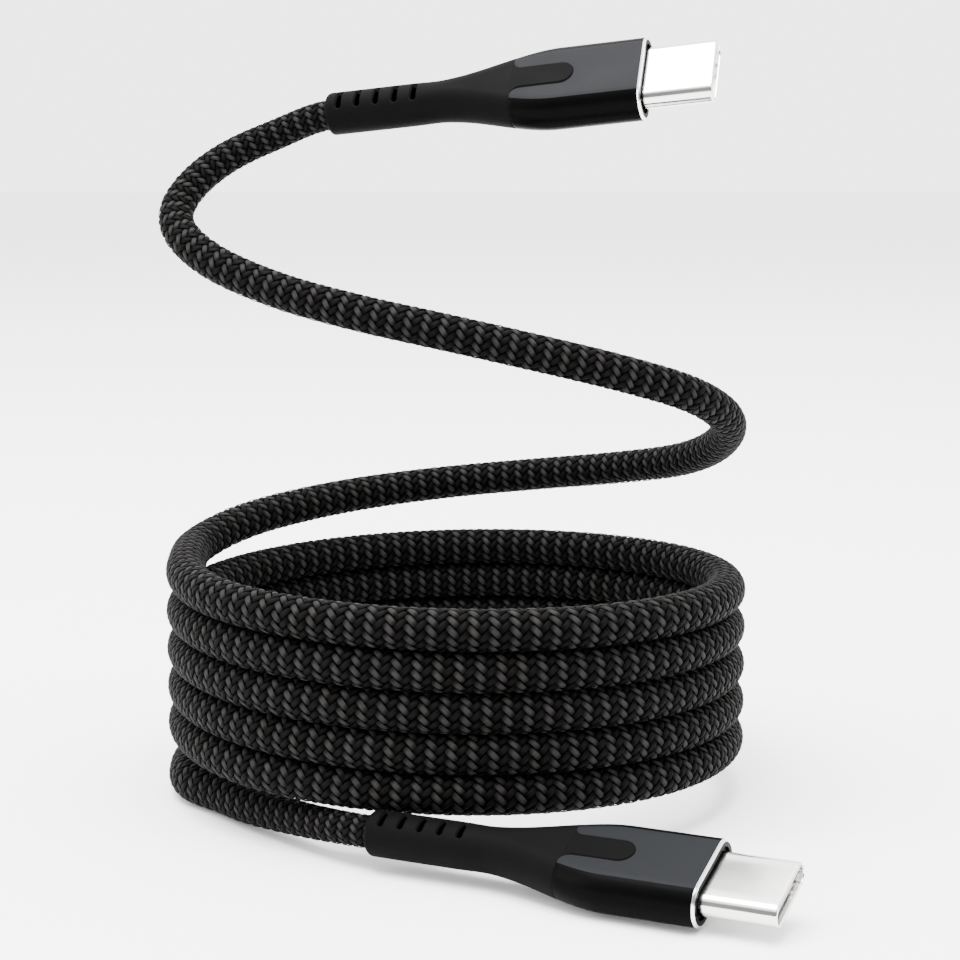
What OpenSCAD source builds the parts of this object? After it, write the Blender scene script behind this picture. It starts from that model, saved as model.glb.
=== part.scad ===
// A braided charging cable with two identical USB-C plugs, wound into a neat round coil.
// It lies on z = 0 with the coil's axis at x = 0, y = 0. Five turns are stacked on the floor,
// and the last stretch rises above them as an open spring to the upper plug.
// Each plug is drawn along +X from its boot's tail, with its top face up, and then placed.

/* [Cord] */
// Diameter over the braid
cord_d = 4.4; // [3.8:0.1:4.6]
// Diameter over the braid in the riser, where the sleeve is drawn out
cord_riser_d = 4; // [3.7:0.1:4.4]
// Diameter over the braid where it enters a boot
cord_end_d = 3.4; // [3.2:0.1:3.8]
// Diameter of the inner jacket
core_d = 2.8; // [2.2:0.1:3]

/* [Coil] */
// Radius of the coil at the middle of the cord
coil_r = 30.2; // [30:0.2:36]
// Height from one turn to the next
coil_pitch = 4.2; // [4:0.1:4.6]
// Whole turns in the level part of the coil
coil_turns = 3; // [2:1:3]

/* [Boot] */
// Outer diameter of the slotted tail
boot_d = 4.7; // [4.4:0.1:5.2]
// Length of the slotted tail
boot_tail_len = 13; // [12:0.5:16]
// Length over which the boot widens to the housing
boot_flare_len = 8.8; // [8:0.2:12]
// Width of the boot where it meets the housing
boot_front_w = 8.9; // [8.6:0.1:9.4]
// Height of the boot where it meets the housing
boot_front_h = 4.5; // [4.4:0.1:4.6]
// Number of flex slots on each side
slot_count = 5; // [3:1:5]
// Distance from one flex slot to the next
slot_step = 2.2; // [1.8:0.1:2.2]
// Width of a flex slot
slot_w = 0.85; // [0.6:0.05:1]
// Length of a flex slot across the boot
slot_l = 2.4; // [1.8:0.1:2.8]
// Depth of a flex slot
slot_depth = 0.35; // [0.2:0.05:0.4]
// Length of the tongue over the top of the housing
tongue_len = 7; // [5:0.5:9]
// Width of the tongue
tongue_w = 3; // [2.4:0.2:4]
// How far the tongue stands proud of the housing
tongue_proud = 0.15; // [0.1:0.05:0.3]

/* [Housing] */
// Width of the housing
housing_w = 10.6; // [10.4:0.1:12.6]
// Height of the housing
housing_h = 4.6; // [4.6:0.1:5.6]
// Length of the housing
housing_len = 14.6; // [13:0.2:18]
// Wall of the housing
housing_wall = 0.7; // [0.6:0.05:0.8]
// Length of the curved rear of the housing
housing_round = 3.8; // [3:0.2:4.6]
// Bright chamfer around the front edge
chamfer = 0.4; // [0.2:0.05:0.5]

/* [Connector] */
// Width of the metal shell, as the USB-C standard gives it
shell_w = 8.25; // [8.2:0.05:8.35]
// Height of the metal shell, as the USB-C standard gives it
shell_h = 2.4; // [2.35:0.05:2.45]
// Wall of the metal shell
shell_wall = 0.3; // [0.25:0.05:0.3]
// Length of the metal shell in front of the housing
shell_out = 7.6; // [6.6:0.1:8]
// Contacts in each row
contact_count = 12; // [12:1:12]
// Distance from one contact to the next
contact_step = 0.5; // [0.5:0.05:0.5]
// Thickness of the paddle card
card_t = 0.6; // [0.5:0.1:0.8]
// Conductors soldered to the card
wire_count = 6; // [4:1:6]
// Diameter of one conductor over its insulation
wire_d = 0.6; // [0.4:0.05:0.65]

/* [Hidden] */
$fn = 48;

// Clearance between pieces that fit in one another
fit = 0.05;
// A plug's pose is the middle of its boot's tail, then its roll, pitch and yaw in degrees.
UPPER = [[-14, 6.2, 75.1], [46.5, -5.8, -17.4]];
LOWER = [[-8, -31.8, 3.7], [22.4, -0.2, -27]];
cord_r = cord_d / 2;
// Angles run from the coil's left side over its front, and a turn lower for each 360.
// The lowest turn passes over the lower boot, so it climbs faster than the coil's own turns.
floor_from = 1512;
floor_to = 1815;
floor_steps = 30;
floor_rise = 5.2;
coil_z0 = cord_r + floor_rise + cord_r;
coil_top = coil_z0 + coil_turns * coil_pitch + 0.2;
top_from = 285;
top_steps = 26;
// From the lowest turn to the lower boot
LOWER_LEAD = [
    [-25.4, -12.3, 2.3], [-22.2, -16.9, 2.35], [-17.9, -22.1, 2.7], [-13.6, -27, 3.2]
];
// From the left of the top turn, up and once round, to the upper boot
RISER = [
    [-30.2, 10, 25.6], [-25.7, 18.5, 27], [-18.2, 25.5, 28.1], [-9.8, 30, 29],
    [0.5, 31.8, 30], [10.8, 29.8, 31.2], [20.1, 24, 32.8], [26.9, 15.5, 35],
    [30.1, 6.5, 38.1], [30, -2.5, 41.8], [25.7, -9.5, 45.2], [18, -13.5, 47.9],
    [9, -15, 50.2], [-0.7, -15, 52.4], [-10.6, -12.5, 54.4], [-19.8, -8.5, 56.7],
    [-27.8, -3.5, 60.1], [-31.2, 1.5, 63.9], [-28.9, 5.4, 68], [-24.7, 7.6, 71],
    [-20.2, 8, 72.9], [-17.4, 7.4, 74.1]
];
// How far the cord runs straight into each boot
lead_in = 1.6;
x_rear = boot_tail_len + boot_flare_len;
x_front = x_rear + housing_len;
x_tip = x_front + shell_out;
bore_d = cord_end_d + 2 * fit;
flex_x = 7;
ferrule_x0 = 9.4;
core_len = boot_tail_len;
collar_w = 6.9;
collar_h = 3.1;
collar_wall = 0.45;
collar_len = 2.3;
cavity_w = housing_w - 2 * housing_wall;
cavity_h = housing_h - 2 * housing_wall;
mould_x0 = x_rear - collar_len + 0.1;
mould_x1 = x_rear + 3.4;
card_x0 = x_rear + 1.6;
card_x1 = x_front - 5.4;
card_w = 7.4;
wire_step = 0.84;
wire_z = card_t / 2 + wire_d / 2 + 0.02;
carrier_x0 = x_front - 5.4;
carrier_x1 = x_tip - 2;
block_x1 = x_front + 0.4;
row_z = 0.45;
contact_t = 0.15;
contact_w = 0.26;
inner_h = shell_h - 2 * shell_wall;
inner_w = shell_w - 2 * shell_wall;
wall_z = row_z + contact_t + 0.02;
arm_y = inner_w / 2 - 0.34;

function unit(v) = v / norm(v);

function plug_dir(pose) =
    let (pitch = -pose[1][1], yaw = pose[1][2])
    [cos(pitch) * cos(yaw), cos(pitch) * sin(yaw), sin(pitch)];

function on_coil(angle, z) = [-coil_r * cos(angle), -coil_r * sin(angle), z];

function floor_z(angle) =
    cord_r + floor_rise * min(1, max(0, (floor_to - angle) / (floor_to - floor_from)));

function route_tangent(route, i) =
    unit(route[min(i + 1, len(route) - 1)] - route[max(i - 1, 0)]);

function boot_end(pose) = [pose[0] - lead_in * plug_dir(pose), pose[0]];

// The radius goes from one value to the next evenly over the route.
function taper(n, r0, r1) = [for (i = [0:n - 1]) r0 + (r1 - r0) * i / (n - 1)];

// A closed skin over rings of corners, each ring with the same number of them.
module skin(rings) {
    n = len(rings);
    sides = len(rings[0]);
    side_faces = [
        for (i = [0:n - 2])
            for (k = [0:sides - 1])
                let (a = i * sides + k, b = i * sides + (k + 1) % sides)
                each [[a, a + sides, b + sides], [a, b + sides, b]]
    ];
    first = [for (k = [0:sides - 1]) k];
    last = [for (k = [sides - 1:-1:0]) (n - 1) * sides + k];
    polyhedron([for (ring = rings) each ring], concat([first, last], side_faces), convexity = 10);
}

// A plain tube along a route, with one ring of corners at each of its points.
module tube(route, radii, sides = 10) {
    skin([
        for (i = [0:len(route) - 1])
            let (t = route_tangent(route, i), s = unit(cross([0, 0, 1], t)), u = cross(t, s))
            [for (k = [0:sides - 1])
                let (a = 360 * k / sides)
                route[i] + radii[i] * (cos(a) * s + sin(a) * u)]
    ]);
}

// A solid through stadium sections along the plug, each given as [x, width, height].
module loft(sections, sides = 32) {
    skin([
        for (section = sections)
            [for (k = [0:sides - 1])
                let (a = 360 * (k + 0.5) / sides)
                [section[0],
                    section[2] / 2 * cos(a) + sign(cos(a)) * (section[1] - section[2]) / 2,
                    section[2] / 2 * sin(a)]]
    ]);
}

// A flat shape with two straight sides and two round ends, or a circle if it is no wider than high.
module stadium(w, h) {
    if (w > h) {
        square([w - h, h], center = true);
        for (side = [-1, 1])
            translate([side * (w - h) / 2, 0])
                circle(d = h);
    } else {
        circle(d = h);
    }
}

// A bar of stadium section along the plug.
module bar(x0, x1, w, h) {
    translate([x0, 0, 0])
        rotate([90, 0, 90])
            linear_extrude(x1 - x0)
                stadium(w, h);
}

module rod(x0, x1, d) {
    translate([x0, 0, 0])
        rotate([0, 90, 0])
            cylinder(d = d, h = x1 - x0);
}

module block(x0, x1, w, z0, z1) {
    translate([x0, -w / 2, z0])
        cube([x1 - x0, w, z1 - z0]);
}

// A skin between two stadium sections of the plug.
module blend(x0, w0, h0, x1, w1, h1) {
    hull() {
        bar(x0, x0 + 0.01, w0, h0, $fn = 32);
        bar(x1 - 0.01, x1, w1, h1, $fn = 32);
    }
}

module at_plug(pose) {
    translate(pose[0])
        rotate(pose[1])
            children();
}

// The outline of the tongue: wide at its root, with a hollow curve on each side and a round end.
module tongue_outline(grow = 0) {
    root_w = boot_front_w - boot_front_h + 1;
    root_r = (root_w - tongue_w) / 2;
    width = tongue_w + 2 * grow;
    translate([x_rear - 0.5, -width / 2])
        square([tongue_len - tongue_w / 2 + 0.5, width]);
    translate([x_rear + tongue_len - tongue_w / 2, 0])
        circle(d = width);
    difference() {
        translate([x_rear - 0.5, -root_w / 2])
            square([root_r + 0.5, root_w]);
        for (side = [-1, 1])
            translate([x_rear + root_r, side * root_w / 2])
                circle(r = root_r - grow);
    }
}

module boot_tail() {
    fillet = 0.5;
    rotate([0, 90, 0])
        rotate_extrude()
            polygon(concat(
                [[0, 0]],
                [for (a = [0:15:90])
                    [boot_d / 2 - fillet + fillet * sin(a), fillet - fillet * cos(a)]],
                [[boot_d / 2, boot_tail_len], [0, boot_tail_len]]
            ));
}

// The boot widens in one smooth curve, from just inside the tail to the housing.
module boot_flare() {
    start_d = boot_d - 0.1;
    start_x = boot_tail_len - 0.3;
    loft([
        for (i = [0:8])
            let (u = i / 8, s = u * u * (2.46 - 1.46 * u))
            [start_x + (x_rear - start_x) * u,
                start_d + (boot_front_w - start_d) * s,
                start_d + (boot_front_h - start_d) * s]
    ]);
}

// Short slots with round ends, across the top and the bottom of the tail.
module flex_slots() {
    for (side = [-1, 1])
        for (i = [0:slot_count - 1])
            translate([1.7 + slot_step * i, 0, side * (boot_d / 2 - slot_depth / 2 + 0.5)])
                rotate([0, 0, 90])
                    linear_extrude(slot_depth + 1, center = true)
                        stadium(slot_l, slot_w);
}

module boot(pose) {
    color("#1c1c1e") at_plug(pose)
        difference() {
            union() {
                boot_tail();
                boot_flare();
                translate([0, 0, boot_front_h / 2 - 0.35])
                    linear_extrude(housing_h / 2 - boot_front_h / 2 + 0.35 + tongue_proud)
                        tongue_outline();
            }
            rod(-1, boot_tail_len, bore_d);
            loft([
                [boot_tail_len - 0.3, bore_d - 0.2, bore_d - 0.2],
                [x_rear - collar_len + 0.1, collar_w - 1, collar_h]
            ]);
            bar(x_rear - collar_len, x_rear + 0.01, collar_w + 2 * fit, collar_h + 2 * fit);
            flex_slots();
        }
}

module braid_end(pose) {
    color("#4a4a4a") at_plug(pose)
        difference() {
            rod(0, flex_x - 1.5, cord_end_d);
            rod(-1, flex_x, core_d + 2 * fit);
        }
}

module cable_core(pose) {
    color("#303030") at_plug(pose)
        rod(0, core_len, core_d);
}

module ferrule(pose) {
    color("#b0aca2") at_plug(pose)
        difference() {
            rod(ferrule_x0, boot_tail_len - 0.4, bore_d - 2 * fit);
            rod(ferrule_x0 - 1, boot_tail_len, core_d + 2 * fit);
        }
}

// The conductors fan out from the core and run side by side to the card.
module wires(pose) {
    spread_x = x_rear - collar_len - 0.3;
    color("#a83232") at_plug(pose)
        for (i = [0:wire_count - 1]) {
            y = wire_step * (i - (wire_count - 1) / 2);
            start = [core_len + 0.35, y * 0.42, (i % 2 == 0 ? 0.34 : -0.34)];
            bend = [spread_x, y, wire_z];
            step = bend - start;
            translate(start)
                rotate([0, acos(step.z / norm(step)), atan2(step.y, step.x)])
                    cylinder(d = wire_d - 0.06, h = norm(step) + 0.1);
            translate([0, y, wire_z])
                rod(bend.x - 0.2, card_x0 + 2, wire_d);
        }
}

module inner_mould(pose) {
    color("#d8d4c4") at_plug(pose)
        difference() {
            union() {
                bar(mould_x0, x_rear + 0.5, collar_w - 2 * collar_wall - 2 * fit,
                    collar_h - 2 * collar_wall - 2 * fit);
                bar(x_rear + 0.5, mould_x1, cavity_w - 1.6, cavity_h - 0.4);
            }
            for (i = [0:wire_count - 1])
                translate([0, wire_step * (i - (wire_count - 1) / 2), wire_z])
                    rod(mould_x0 - 1, mould_x1 + 1, wire_d + fit);
            block(card_x0 - fit, mould_x1 + 1, card_w + 2 * fit, -card_t / 2 - 0.01,
                card_t / 2 + 0.01);
        }
}

module housing(pose) {
    color("#5e6064") at_plug(pose)
        difference() {
            union() {
                bar(x_rear - collar_len, x_rear + 0.5, collar_w, collar_h);
                blend(x_rear, boot_front_w, boot_front_h,
                    x_rear + 0.3 * housing_round, boot_front_w + 0.62 * (housing_w - boot_front_w),
                    boot_front_h + 0.62 * (housing_h - boot_front_h));
                blend(x_rear + 0.3 * housing_round - 0.01,
                    boot_front_w + 0.62 * (housing_w - boot_front_w),
                    boot_front_h + 0.62 * (housing_h - boot_front_h),
                    x_rear + housing_round, housing_w, housing_h);
                bar(x_rear + housing_round - 0.01, x_front - chamfer, housing_w, housing_h);
                blend(x_front - chamfer - 0.01, housing_w, housing_h,
                    x_front, housing_w - 2 * chamfer, housing_h - 2 * chamfer);
            }
            bar(x_rear - collar_len - 1, x_rear + 1, collar_w - 2 * collar_wall,
                collar_h - 2 * collar_wall);
            bar(x_rear + 0.45, x_front + 1, cavity_w, cavity_h);
            translate([0, 0, boot_front_h / 2 - 0.35 - fit])
                linear_extrude(2)
                    tongue_outline(fit);
        }
}

module nose_insert(pose) {
    color("#101012") at_plug(pose)
        difference() {
            bar(x_front - 3.4, x_front - 0.3, cavity_w - 2 * fit, cavity_h - 2 * fit);
            bar(x_front - 4, x_front + 1, shell_w + fit, shell_h + fit);
        }
}

module shell(pose) {
    color("#c9cacc") at_plug(pose)
        difference() {
            bar(carrier_x0 - 1.8, x_tip, shell_w, shell_h);
            bar(carrier_x0 - 3, x_tip + 1, inner_w, inner_h);
        }
}

// Holds both rows of contacts and lines the shell above and below the gap for the socket's tongue.
module contact_carrier(pose) {
    row_w = contact_step * contact_count + 0.2;
    color("#161618") at_plug(pose)
        difference() {
            union() {
                bar(carrier_x0, block_x1, inner_w - 2 * fit, inner_h - 2 * fit);
                for (side = [-1, 1])
                    block(block_x1 - 0.1, carrier_x1, row_w + 0.1,
                        side > 0 ? wall_z : -inner_h / 2 + fit,
                        side > 0 ? inner_h / 2 - fit : -wall_z);
            }
            for (side = [-1, 1])
                translate([0, 0, side * (row_z + contact_t / 2)])
                    block(carrier_x0 - 1, block_x1 + 1, row_w, -contact_t / 2 - 0.02,
                        contact_t / 2 + 0.02);
            block(carrier_x0 + 0.3, block_x1 + 1, 2 * arm_y + 0.4, -0.12, 0.12);
            for (side = [-1, 1])
                translate([0, side * (arm_y + 0.09), 0])
                    block(block_x1 - 0.8, block_x1 + 1, 0.3, -0.55, 0.55);
        }
}

// One row of separate contacts, each with a rounded touch point near its end.
module contact_row(pose, side) {
    color("#d8ae4a") at_plug(pose)
        for (i = [0:contact_count - 1])
            translate([0, contact_step * (i - (contact_count - 1) / 2), 0])
                mirror([0, 0, side > 0 ? 0 : 1]) {
                    block(carrier_x0 - 1.4, carrier_x1 - 0.4, contact_w, row_z,
                        row_z + contact_t);
                    block(carrier_x0 - 1.4, carrier_x0 - 0.5, contact_w, card_t / 2 + 0.01,
                        row_z + 0.01);
                    translate([carrier_x1 - 1.2, contact_w / 2, row_z])
                        rotate([90, 0, 0])
                            cylinder(r = 0.14, h = contact_w, $fn = 24);
                }
}

// The steel plate between the rows, with a sprung latch arm along each side.
module latch_plate(pose) {
    color("#a9abae") at_plug(pose) {
        block(carrier_x0 + 0.4, block_x1 - 0.2, 2 * arm_y + 0.3, -0.08, 0.08);
        for (side = [-1, 1]) {
            translate([0, side * (arm_y + 0.09), 0])
                block(block_x1 - 0.7, carrier_x1 - 0.6, 0.16, -0.45, 0.45);
            translate([0, side * (arm_y - 0.06), 0])
                block(carrier_x1 - 1.1, carrier_x1 - 0.6, 0.3, -0.45, 0.45);
        }
    }
}

module ground_springs(pose) {
    color("#c0a878") at_plug(pose)
        for (side = [-1, 1])
            translate([0, 0, side * (inner_h / 2 - 0.2)])
                block(carrier_x1 + 0.1, carrier_x1 + 1.1, contact_step * 11, -0.12, 0.12);
}

module paddle_card(pose) {
    color("#1f5a3a") at_plug(pose)
        block(card_x0, card_x1 - 0.05, card_w, -card_t / 2, card_t / 2);
}

module marker_chip(pose) {
    color("#202022") at_plug(pose)
        translate([0, 1.6, 0])
            block(mould_x1 + 0.5, mould_x1 + 2.7, 2.2, card_t / 2, card_t / 2 + 0.45);
}

module card_parts(pose) {
    color("#a88a5c") at_plug(pose)
        for (y = [-2.6, -1.6, -0.6])
            translate([0, y, 0])
                block(mould_x1 + 0.6, mould_x1 + 1.6, 0.5, card_t / 2, card_t / 2 + 0.35);
}

module cord_floor_turn() {
    turn = [
        for (i = [0:floor_steps])
            let (angle = floor_from + (floor_to - floor_from) * i / floor_steps)
            on_coil(angle, floor_z(angle))
    ];
    route = concat(turn, LOWER_LEAD, boot_end(LOWER));
    lead = len(LOWER_LEAD) + 2;
    color("#55534f")
        tube(route, concat([for (p = turn) cord_r], taper(lead, cord_r, cord_end_d / 2)));
}

module cord_coil() {
    color("#55534f")
        rotate_extrude($fn = 120) {
            for (i = [0:coil_turns - 1])
                translate([coil_r, coil_z0 + cord_r + i * coil_pitch])
                    circle(r = cord_r);
            translate([coil_r - cord_r * 0.8, coil_z0 + cord_r])
                square([cord_r * 1.6, (coil_turns - 1) * coil_pitch]);
        }
}

module cord_riser() {
    top = [
        for (i = [0:top_steps])
            let (angle = top_from * (1 - i / top_steps))
            on_coil(angle, coil_top + cord_r + 0.8 * max(0, 1 - angle / 90))
    ];
    route = concat(top, RISER, boot_end(UPPER));
    radii = concat(
        [for (p = top) cord_r],
        taper(4, cord_r, cord_riser_d / 2),
        [for (i = [5:len(RISER) - 2]) cord_riser_d / 2],
        taper(4, cord_riser_d / 2, cord_end_d / 2)
    );
    color("#55534f")
        tube(route, radii);
}

cord_floor_turn();
cord_coil();
cord_riser();
boot(UPPER);  // upper_boot
braid_end(UPPER);  // upper_braid_end
cable_core(UPPER);  // upper_cable_core
ferrule(UPPER);  // upper_ferrule
wires(UPPER);  // upper_wires
inner_mould(UPPER);  // upper_inner_mould
housing(UPPER);  // upper_housing
nose_insert(UPPER);  // upper_nose_insert
shell(UPPER);  // upper_shell
contact_carrier(UPPER);  // upper_contact_carrier
contact_row(UPPER, 1);  // upper_contacts_top
contact_row(UPPER, -1);  // upper_contacts_bottom
latch_plate(UPPER);  // upper_latch_plate
ground_springs(UPPER);  // upper_ground_springs
paddle_card(UPPER);  // upper_paddle_card
marker_chip(UPPER);  // upper_marker_chip
card_parts(UPPER);  // upper_card_parts
boot(LOWER);  // lower_boot
braid_end(LOWER);  // lower_braid_end
cable_core(LOWER);  // lower_cable_core
ferrule(LOWER);  // lower_ferrule
wires(LOWER);  // lower_wires
inner_mould(LOWER);  // lower_inner_mould
housing(LOWER);  // lower_housing
nose_insert(LOWER);  // lower_nose_insert
shell(LOWER);  // lower_shell
contact_carrier(LOWER);  // lower_contact_carrier
contact_row(LOWER, 1);  // lower_contacts_top
contact_row(LOWER, -1);  // lower_contacts_bottom
latch_plate(LOWER);  // lower_latch_plate
ground_springs(LOWER);  // lower_ground_springs
paddle_card(LOWER);  // lower_paddle_card
marker_chip(LOWER);  // lower_marker_chip
card_parts(LOWER);  // lower_card_parts
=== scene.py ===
"""A braided charging cable: a stacked coil, an open riser and a USB-C plug at each end."""

import logging
import math
from collections.abc import Sequence
from dataclasses import dataclass, field
from enum import Enum

import bpy
import numpy as np
from mathutils import Euler, Matrix, Vector

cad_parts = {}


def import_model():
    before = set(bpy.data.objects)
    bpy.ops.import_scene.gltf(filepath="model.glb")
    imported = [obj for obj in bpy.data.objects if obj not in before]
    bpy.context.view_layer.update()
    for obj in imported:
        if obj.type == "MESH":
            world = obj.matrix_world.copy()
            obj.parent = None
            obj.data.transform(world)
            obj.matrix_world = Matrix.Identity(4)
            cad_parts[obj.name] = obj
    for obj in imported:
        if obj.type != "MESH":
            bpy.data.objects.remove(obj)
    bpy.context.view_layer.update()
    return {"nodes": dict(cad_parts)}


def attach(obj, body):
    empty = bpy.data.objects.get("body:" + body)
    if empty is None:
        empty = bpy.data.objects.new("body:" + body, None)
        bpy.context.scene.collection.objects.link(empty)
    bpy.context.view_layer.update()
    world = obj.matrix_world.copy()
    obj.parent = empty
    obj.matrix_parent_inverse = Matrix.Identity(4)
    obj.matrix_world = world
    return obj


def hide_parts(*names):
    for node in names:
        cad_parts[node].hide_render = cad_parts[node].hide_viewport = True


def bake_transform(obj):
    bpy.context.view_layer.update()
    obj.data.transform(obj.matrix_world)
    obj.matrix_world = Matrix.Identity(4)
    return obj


LOG = logging.getLogger("charging_cable")
MM = 0.001
ARC_STEPS = 24
FLAT_STEPS = 6


class End(Enum):
    """The two ends of the cable."""

    UPPER = "upper"
    LOWER = "lower"


class Yarn(Enum):
    """The two families of carriers in the braid, by the way they wind round the cord."""

    GREY = 1
    BLACK = -1


def add_noise(
    material: bpy.types.Material, vector: bpy.types.NodeSocket, scale: float, detail: float
) -> bpy.types.Node:
    """Adds a noise texture to a material.

    Args:
        material: The material.
        vector: The socket that gives the place.
        scale: The noise's scale.
        detail: How many finer layers it has.

    Returns:
        The noise node.
    """
    made = material.node_tree.nodes.new("ShaderNodeTexNoise")
    made.inputs["Scale"].default_value = scale
    made.inputs["Detail"].default_value = detail
    material.node_tree.links.new(vector, made.inputs["Vector"])
    return made


def add_mapping(
    material: bpy.types.Material, vector: bpy.types.NodeSocket, scale: tuple[float, float, float]
) -> bpy.types.NodeSocket:
    """Adds a mapping that stretches the place along its axes.

    Args:
        material: The material.
        vector: The socket that gives the place.
        scale: The stretch along each axis.

    Returns:
        The socket of the stretched place.
    """
    made = material.node_tree.nodes.new("ShaderNodeMapping")
    made.inputs["Scale"].default_value = scale
    material.node_tree.links.new(vector, made.inputs["Vector"])
    return made.outputs["Vector"]


def add_shades(
    material: bpy.types.Material, colour: tuple[float, float, float],
    positions: tuple[float, float], levels: tuple[float, float],
) -> bpy.types.Node:
    """Adds a ramp from a darker to a lighter shade of one colour.

    Args:
        material: The material.
        colour: The colour.
        positions: Where on the ramp the two shades lie.
        levels: What the colour is multiplied by for each.

    Returns:
        The ramp node.
    """
    made = material.node_tree.nodes.new("ShaderNodeValToRGB")
    for stop, position, level in zip(made.color_ramp.elements, positions, levels):
        stop.position = position
        stop.color = (*(min(1.0, c * level) for c in colour), 1.0)
    return made


def add_relief(
    material: bpy.types.Material, height: bpy.types.NodeSocket, depth: float
) -> None:
    """Adds a bump to a material's shader.

    Args:
        material: The material.
        height: The socket that gives the height.
        depth: The relief's depth in metres.
    """
    made = material.node_tree.nodes.new("ShaderNodeBump")
    made.inputs["Strength"].default_value = 1.0
    made.inputs["Distance"].default_value = depth
    material.node_tree.links.new(height, made.inputs["Height"])
    shader = material.node_tree.nodes["Principled BSDF"]
    material.node_tree.links.new(made.outputs["Normal"], shader.inputs["Normal"])


@dataclass(frozen=True)
class Finish:
    """A plain moulded or metal surface with a fine grain."""

    name: str
    colour: tuple[float, float, float]
    roughness: float
    metallic: float = 0.0
    specular: float = 0.5
    coat: float = 0.0
    coat_roughness: float = 0.1
    grain_mm: float = 0.05
    grain_detail: float = 3.0
    grain_depth_mm: float = 0.0
    wear_per_m: float = 260.0
    wear_detail: float = 4.0
    taken: tuple[float, float] = (0.3, 0.7)
    roughness_swing: float = 0.05
    colour_swing: float = 0.06
    stretch: tuple[float, float, float] = (1.0, 1.0, 1.0)

    def material(self) -> bpy.types.Material:
        """Makes the node material, or returns the one made before.

        Returns:
            The material, with its colour, roughness and relief driven by fine noise.
        """
        made = bpy.data.materials.get(self.name)
        if made:
            return made
        made = bpy.data.materials.new(self.name)
        made.use_nodes = True
        nodes, links = made.node_tree.nodes, made.node_tree.links
        shader = nodes["Principled BSDF"]
        shader.inputs["Metallic"].default_value = self.metallic
        shader.inputs["Specular IOR Level"].default_value = self.specular
        shader.inputs["Coat Weight"].default_value = self.coat
        shader.inputs["Coat Roughness"].default_value = self.coat_roughness
        place = nodes.new("ShaderNodeTexCoord").outputs["Object"]
        spread = add_mapping(made, place, self.stretch)
        grain = add_noise(made, spread, 1.0 / (self.grain_mm * MM), self.grain_detail)
        wear = add_noise(made, spread, self.wear_per_m, self.wear_detail)
        tone = nodes.new("ShaderNodeMapRange")
        tone.inputs["From Min"].default_value, tone.inputs["From Max"].default_value = self.taken
        tone.inputs["To Min"].default_value = self.roughness - self.roughness_swing
        tone.inputs["To Max"].default_value = self.roughness + self.roughness_swing
        links.new(wear.outputs["Fac"], tone.inputs["Value"])
        links.new(tone.outputs["Result"], shader.inputs["Roughness"])
        levels = (1.0 - self.colour_swing, 1.0 + self.colour_swing)
        shade = add_shades(made, self.colour, self.taken, levels)
        links.new(grain.outputs["Fac"], shade.inputs["Fac"])
        links.new(shade.outputs["Color"], shader.inputs["Base Color"])
        if self.grain_depth_mm > 0:
            add_relief(made, grain.outputs["Fac"], self.grain_depth_mm * MM)
        return made


@dataclass(frozen=True)
class YarnFinish:
    """Flat nylon yarn: fine filaments along each pick, and a shade for each pick: its own random
    tone, darkened by painted shade towards its ends and sides.
    """

    name: str
    colour: tuple[float, float, float]
    filaments: float = 10.0
    streak: float = 0.35
    frizz: float = 0.6
    positions: tuple[float, float] = (0.25, 0.75)
    levels: tuple[float, float] = (0.42, 1.5)
    depth_mm: float = 0.018
    roughness: float = 0.6
    specular: float = 0.05

    def material(self) -> bpy.types.Material:
        """Makes the yarn's node material.

        Returns:
            The material, which reads the picks' own map and the 'shade' attribute of random tone
            and painted shade.
        """
        made = bpy.data.materials.new(self.name)
        made.use_nodes = True
        nodes, links = made.node_tree.nodes, made.node_tree.links
        shader = nodes["Principled BSDF"]
        shader.inputs["Roughness"].default_value = self.roughness
        shader.inputs["Specular IOR Level"].default_value = self.specular
        place = nodes.new("ShaderNodeUVMap")
        place.uv_map = "yarn"
        spread = add_mapping(made, place.outputs["UV"], (self.streak, self.filaments, 1.0))
        fibre = add_noise(made, spread, 1.0, 3.0)
        fibre.inputs["Roughness"].default_value = self.frizz
        shades = add_shades(made, self.colour, self.positions, self.levels)
        links.new(fibre.outputs["Fac"], shades.inputs["Fac"])
        # The 'shade' attribute: the pick's random tone times painted shade at its ends and sides.
        own = nodes.new("ShaderNodeAttribute")
        own.attribute_name = "shade"
        tint = nodes.new("ShaderNodeMix")
        tint.data_type = "RGBA"
        tint.blend_type = "MULTIPLY"
        tint.inputs["Factor"].default_value = 1.0
        links.new(shades.outputs["Color"], tint.inputs["A"])
        links.new(own.outputs["Color"], tint.inputs["B"])
        links.new(tint.outputs["Result"], shader.inputs["Base Color"])
        add_relief(made, fibre.outputs["Fac"], self.depth_mm * MM)
        return made


SOFT_TOUCH = Finish(
    "soft_touch_rubber", (0.0019, 0.0019, 0.00195), 0.6, specular=0.02,
    grain_mm=0.07, grain_depth_mm=0.004, roughness_swing=0.04,
)
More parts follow.
